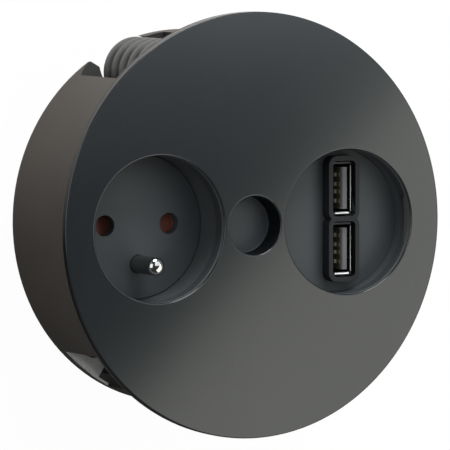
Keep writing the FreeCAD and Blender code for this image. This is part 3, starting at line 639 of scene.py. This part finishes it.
def port_shell(number):
    """A folded shell whose mouth opens out in a curve, so that a plug finds its way in."""
    node = "usb_shell_%d" % number
    low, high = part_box(node)
    x, y = middle(node)[:2]
    half_x, half_y = (high.x - low.x) / 2, (high.y - low.y) / 2
    wall, corner = 0.3 * MM, 0.6 * MM
    flare_x, flare_y, flare_z = 0.16 * MM, 0.65 * MM, 0.5 * MM
    lip = 0.02 * MM
    mouth_turn, mouth_steps = math.radians(72), 6
    leaning = 0.3
    mouth = []
    for i in range(mouth_steps + 1):
        turn = mouth_turn * i / mouth_steps
        out = 1 - math.cos(turn)
        mouth.append((flare_x * out, flare_y * out, high.z - flare_z * (1 - math.sin(turn))))
    bm = bmesh.new()
    loops = [boxed(bm, half_x - wall, half_y - wall, corner, low.z + wall, x, y)]
    loops += [boxed(bm, half_x - wall + dx, half_y - wall + dy, corner, z, x, y)
              for dx, dy, z in mouth]
    loops += [boxed(bm, half_x + dx, half_y + dy, corner, z - lip, x, y)
              for dx, dy, z in mouth[::-1]]
    loops.append(boxed(bm, half_x, half_y, corner, low.z, x, y))
    for near, far in zip(loops, loops[1:]):
        bmesh.ops.bridge_loops(bm, edges=near + far)
    fill(bm, loops[0])
    fill(bm, loops[-1])

    def highlighted_lips(face):
        in_mouth = face.center.z > high.z - 2 * flare_z
        lower = face.normal.y > leaning and abs(face.center.x - x) < MM
        right = face.normal.x < -leaning and abs(face.center.y - y) < MM
        return in_mouth and (lower or right)

    # The shell is near black, painted shade, and its lower and right lips light, painted
    # highlight.
    shell = new_piece("port_shell_%d" % number, bm, PORT_SHADE, "casing_body", node)
    finish_faces(shell, PORT_HIGHLIGHT, highlighted_lips)


def port_tongue(number):
    """The tongue, its upper edge on the contacts' side cut to a slope."""
    node = "usb_tongue_%d" % number
    slope = 0.6 * MM
    facing_contacts, facing_up = -0.2, 0.15
    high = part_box(node)[1]
    west = min(v.co.x for v in frame["nodes"][node].data.vertices if v.co.z > high.z - 2 * NEAR)

    def contact_edge(edge):
        return all(abs(v.co.x - west) < NEAR and v.co.z > high.z - NEAR for v in edge.verts)

    tongue = eased("port_tongue_%d" % number, node, TONGUE, width=slope, picked=contact_edge)
    # Painted shade on the slope.
    finish_faces(tongue, TONGUE_SLOPE_SHADE, lambda face: face.normal.x < facing_contacts)
    finish_faces(tongue, TONGUE_SIDE,
                 lambda face: face.normal.x < facing_contacts and face.normal.z < facing_up)


def port_contacts(number):
    """Four gilt leaves up the tongue's face, each bowed out where it meets the plug."""
    node = "usb_contacts_%d" % number
    low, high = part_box(node)
    places = [middle(node)[1] + side * MM for side in (-3.5, -1.0, 1.0, 3.5)]
    facing_up = 0.15
    width, thick, bow, bow_half = 1.0 * MM, 0.15 * MM, 0.35 * MM, 1.2 * MM
    bow_at, bow_steps = high.z - 2.4 * MM, 12
    bm = bmesh.new()
    for place in places:
        rise = []
        for i in range(bow_steps + 1):
            z = bow_at - bow_half + 2 * bow_half * i / bow_steps
            rise.append((high.x - thick - bow * math.sin(math.pi * i / bow_steps) ** 2, z))
        outline = [(high.x, low.z), (high.x - thick, low.z)] + rise
        outline += [(high.x - thick, high.z), (high.x, high.z)]
        outline += [(x + thick, z) for x, z in rise[::-1]]
        y = place - width / 2
        face = bm.faces.new([bm.verts.new((x, y, z)) for x, z in outline])
        grown = bmesh.ops.extrude_face_region(bm, geom=[face])["geom"]
        bmesh.ops.translate(bm, vec=(0, width, 0),
                            verts=[v for v in grown if isinstance(v, bmesh.types.BMVert)])
    leaves = new_piece("port_contacts_%d" % number, bm, GILT_SHADE, "casing_body", node)
    # Painted highlight on the upper side of each bow; the rest of the leaves keep the painted
    # shade.
    finish_faces(leaves, GILT_HIGHLIGHT, lambda face: (face.normal.z > facing_up
                                             and abs(face.center.z - bow_at) < bow_half))


usb_block()
for number in (1, 2):
    port_shell(number)
    port_tongue(number)
    port_contacts(number)


# Screws with six-lobed recesses

SCREW_STEPS = 36


def lobed(bm, r, z, x, y):
    """A circle drawn out into six lobes."""
    lobes, reach = 6, 0.14
    loop = circle(bm, r, z, x, y, SCREW_STEPS)
    for vert in corners(loop):
        arm = vert.co.xy - Vector((x, y))
        arm *= 1 + reach * math.cos(lobes * math.atan2(arm.y, arm.x))
        vert.co.xy = Vector((x, y)) + arm
    return loop


def screws(name, node, places, head_r, face, under, tip, metal=STEEL):
    """Screws whose heads run from the level of their face to under, and whose ends are at tip."""
    into = math.copysign(1, under - face)
    shank_r, ease = 1.4 * MM, 0.25 * MM
    mouth_r, bottom_r = 0.48 * head_r, 0.44 * head_r
    recess = 0.6 * abs(under - face)
    bm = bmesh.new()
    for x, y in places:
        first, last = rim(bm, [(head_r - ease, face), (head_r, face + into * ease),
                               (head_r, under), (shank_r, under), (shank_r, tip)],
                          x, y, SCREW_STEPS)
        mouth = lobed(bm, mouth_r, face, x, y)
        bottom = lobed(bm, bottom_r, face + into * recess, x, y)
        bmesh.ops.bridge_loops(bm, edges=mouth + bottom)
        fill(bm, first + mouth)
        fill(bm, bottom)
        fill(bm, last)
    new_piece(name, bm, metal, "casing_body", node)


def all_screws():
    """The screws that show: four below, four in the deck and one in each clip's foot."""
    head_r, head_t = 2.6 * MM, 1.5 * MM
    clip_head_r, clip_head_t = 1.9 * MM, 1.0 * MM
    boss_r, boss_angles = 45.2 * MM, (38.0, 142.0, 212.0, 328.0)
    clip_r, clip_angles = 44.75 * MM, (230.75, 50.75)
    bosses = [polar(boss_r, angle) for angle in boss_angles]
    clips = [polar(clip_r, angle) for angle in clip_angles]
    low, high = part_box("case_screws")
    screws("screws_underneath", "case_screws", bosses, head_r, low.z, low.z + head_t, high.z)
    low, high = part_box("deck_screws")
    screws("screws_of_deck", "deck_screws", bosses, head_r, high.z, high.z - head_t, low.z)
    low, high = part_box("clip_screws")
    screws("screws_of_clips", "clip_screws", clips, clip_head_r, high.z, high.z - clip_head_t,
           low.z, BLACK_STEEL)


all_screws()


# Finishes of the frame's own pieces

FINISHES = {
    TAUPE: ("casing", "back_cover"),
    WELL_GREY: ("usb_bezel", "carrier", "socket_floor", "mains_liner", "usb_liner",
                "gland_sleeve"),
    SHUTTER_BROWN: ("shutter",),
    INNER_WHITE: ("socket_body", "terminal_block", "gland_plate", "transformer", "board_link",
                  "capacitors"),
    STEEL: ("pivot_screw", "retaining_washer", "case_screws", "deck_screws", "socket_screws",
            "gland_screws", "clip_screws", "terminal_screws", "liner_screws"),
    LEAF_STEEL: ("detent_spring", "shutter_spring"),
    CLIP_STEEL: ("retaining_clip_1", "retaining_clip_2"),
    PORT_SHADE: ("usb_shell_1", "usb_shell_2"),
    BRASS: ("far_contact", "near_contact", "earth_strap"),
    GILT_SHADE: ("usb_contacts_1", "usb_contacts_2"),
    TONGUE: ("usb_tongue_1", "usb_tongue_2"),
    LAMINATE: ("usb_board", "power_board"),
    SHEATH: ("line_wire", "neutral_wire", "supply_wires"),
    FOAM: ("desk_gasket",),
    ANODISED: ("cover_plate", "finger_cup"),
    NICKEL: ("earth_pin",),
}
for finish_material, nodes in FINISHES.items():
    for node in nodes:
        mesh = frame["nodes"][node].data
        mesh.materials.clear()
        mesh.materials.append(finish_material)


# Floor, world and lamps

FLOOR_R = 6.0
FLOOR_LEVEL = -0.02 * MM
FLOOR_GREY = 0.16
FLOOR_SEEN = 1.18
FLOOR_SHARE_OF_WHITE = 0.82
FLOOR_MIRRORED = {-0.01: 0.04, 0.07: 1.6}
WORLD_COLOR = (0.95, 0.97, 1.0, 1)
WORLD_LIGHT = 0.10
WORLD_SEEN = 1.0
WORLD_MIRRORED = {0.2: 0.4, 0.6: 0.064}


def graded(tree, along, levels):
    """A strength that runs between the levels, given for two places along an axis."""
    made = tree.nodes.new("ShaderNodeMapRange")
    (start, first), (end, last) = levels.items()
    made.inputs["From Min"].default_value = start
    made.inputs["From Max"].default_value = end
    made.inputs["To Min"].default_value = first
    made.inputs["To Max"].default_value = last
    tree.links.new(along, made.inputs["Value"])
    return made.outputs["Result"]


def pale_to_sight(tree, seen_strength, mirrored_strength):
    """Which rays see the pale side, and the strength of its white for the camera and mirrors."""
    nodes, links = tree.nodes, tree.links
    path = nodes.new("ShaderNodeLightPath")
    share = path.outputs["Is Camera Ray"]
    for ray in ("Is Glossy Ray", "Is Transmission Ray"):
        either = nodes.new("ShaderNodeMath")
        either.operation = "MAXIMUM"
        links.new(share, either.inputs[0])
        links.new(path.outputs[ray], either.inputs[1])
        share = either.outputs[0]
    strength = nodes.new("ShaderNodeMapRange")
    strength.inputs["To Max"].default_value = seen_strength
    links.new(mirrored_strength, strength.inputs["To Min"])
    links.new(path.outputs["Is Camera Ray"], strength.inputs["Value"])
    return share, strength.outputs["Result"]


def pale_floor():
    """Grey for the light that it gives back, near white to sight, and clear from below."""
    material = bpy.data.materials.new("pale_floor")
    material.use_nodes = True
    tree = material.node_tree
    shader = tree.nodes["Principled BSDF"]
    shader.inputs["Base Color"].default_value = (FLOOR_GREY, FLOOR_GREY, FLOOR_GREY, 1)
    shader.inputs["Roughness"].default_value = 0.9
    apart = tree.nodes.new("ShaderNodeSeparateXYZ")
    tree.links.new(tree.nodes.new("ShaderNodeTexCoord").outputs["Object"], apart.inputs[0])
    mirrored = graded(tree, apart.outputs["Y"], FLOOR_MIRRORED)
    share, strength = pale_to_sight(tree, FLOOR_SEEN, mirrored)
    fade = tree.nodes.new("ShaderNodeMath")
    fade.operation = "MULTIPLY"
    fade.inputs[1].default_value = FLOOR_SHARE_OF_WHITE
    white = tree.nodes.new("ShaderNodeEmission")
    mix = tree.nodes.new("ShaderNodeMixShader")
    tree.links.new(share, fade.inputs[0])
    tree.links.new(strength, white.inputs["Strength"])
    tree.links.new(fade.outputs[0], mix.inputs["Fac"])
    tree.links.new(shader.outputs[0], mix.inputs[1])
    tree.links.new(white.outputs[0], mix.inputs[2])
    from_below = tree.nodes.new("ShaderNodeMixShader")
    clear = tree.nodes.new("ShaderNodeBsdfTransparent")
    tree.links.new(tree.nodes.new("ShaderNodeNewGeometry").outputs["Backfacing"],
                   from_below.inputs["Fac"])
    tree.links.new(mix.outputs[0], from_below.inputs[1])
    tree.links.new(clear.outputs[0], from_below.inputs[2])
    tree.links.new(from_below.outputs[0], tree.nodes["Material Output"].inputs["Surface"])
    return material


def floor():
    """A wide floor just under the object, open beneath it."""
    opening_r = BARREL_R - MM
    bm = bmesh.new()
    bmesh.ops.bridge_loops(bm, edges=circle(bm, opening_r, FLOOR_LEVEL)
                           + circle(bm, FLOOR_R, FLOOR_LEVEL))
    bmesh.ops.recalc_face_normals(bm, faces=bm.faces)
    if bm.faces[:][0].normal.z < 0:
        bmesh.ops.reverse_faces(bm, faces=bm.faces)
    mesh = bpy.data.meshes.new("floor")
    bm.to_mesh(mesh)
    bm.free()
    mesh.materials.append(pale_floor())
    made = bpy.data.objects.new("floor", mesh)
    bpy.context.scene.collection.objects.link(made)


def world():
    """Dim all round for the light it gives; to sight white, and in mirrors dim only overhead."""
    made = bpy.data.worlds.new("studio")
    made.use_nodes = True
    bpy.context.scene.world = made
    tree = made.node_tree
    dim = tree.nodes["Background"]
    dim.inputs["Color"].default_value = WORLD_COLOR
    dim.inputs["Strength"].default_value = WORLD_LIGHT
    apart = tree.nodes.new("ShaderNodeSeparateXYZ")
    tree.links.new(tree.nodes.new("ShaderNodeTexCoord").outputs["Generated"], apart.inputs[0])
    mirrored = graded(tree, apart.outputs["Z"], WORLD_MIRRORED)
    share, strength = pale_to_sight(tree, WORLD_SEEN, mirrored)
    white = tree.nodes.new("ShaderNodeBackground")
    white.inputs["Color"].default_value = (1, 1, 1, 1)
    mix = tree.nodes.new("ShaderNodeMixShader")
    tree.links.new(strength, white.inputs["Strength"])
    tree.links.new(share, mix.inputs["Fac"])
    tree.links.new(dim.outputs[0], mix.inputs[1])
    tree.links.new(white.outputs[0], mix.inputs[2])
    tree.links.new(mix.outputs[0], tree.nodes["World Output"].inputs["Surface"])


def lamp(name, place, turn, size, radiance, color=(1, 1, 1)):
    """A flat lamp; its radiance is 1 where it would look white."""
    data = bpy.data.lights.new(name, "AREA")
    data.shape = "RECTANGLE"
    data.size, data.size_y = size
    data.energy = radiance * math.pi * size[0] * size[1]
    data.color = color
    made = bpy.data.objects.new(name, data)
    made.matrix_world = Matrix.Translation(place) @ turn
    made.visible_camera = False
    bpy.context.scene.collection.objects.link(made)


def aimed_lamp(name, place, size, level):
    """A lamp that faces the object and lights white paper there to the given level."""
    away = Vector(place) - Vector((0, 0, 30 * MM))
    turn = away.to_track_quat("Z", "Y").to_matrix().to_4x4()
    lamp(name, place, turn, size, level * math.pi * away.length ** 2 / size[0] / size[1])


def mirrored_lamp(name, height, edge_at, edge_turn, size, radiance, color):
    """A lamp over the cover whose mirror image has its edge across the cover at edge_at."""
    shift = Vector((math.sin(YAW) * math.cos(PITCH), -math.sin(PITCH))) * (
        height / math.cos(YAW) / math.cos(PITCH))
    inward = Vector((math.cos(math.radians(edge_turn)), math.sin(math.radians(edge_turn))))
    centre = Vector(edge_at) + shift + inward * size[0] / 2
    lamp(name, (*centre, COVER_TOP + height), Matrix.Rotation(math.radians(edge_turn), 4, "Z"),
         size, radiance, color)


floor()
world()
aimed_lamp("key_top", place=(0.05, 1.2, 0.6), size=(0.7, 0.7), level=0.92)
aimed_lamp("fill_left", place=(-0.95, 0.2, 0.9), size=(0.9, 0.9), level=0.34)
mirrored_lamp("sheen_low_right", height=0.2, edge_at=(0.005, -0.005), edge_turn=-45,
              size=(0.3, 0.3), radiance=2.5, color=(1.0, 0.99, 0.90))
mirrored_lamp("sheen_top", height=0.35, edge_at=(0.0, 0.065), edge_turn=90,
              size=(0.3, 0.45), radiance=2.0, color=(0.95, 0.98, 1.0))
mirrored_lamp("sheen_top_soft", height=0.35, edge_at=(0.0, 0.025), edge_turn=90,
              size=(0.3, 0.45), radiance=0.35, color=(0.95, 0.98, 1.0))
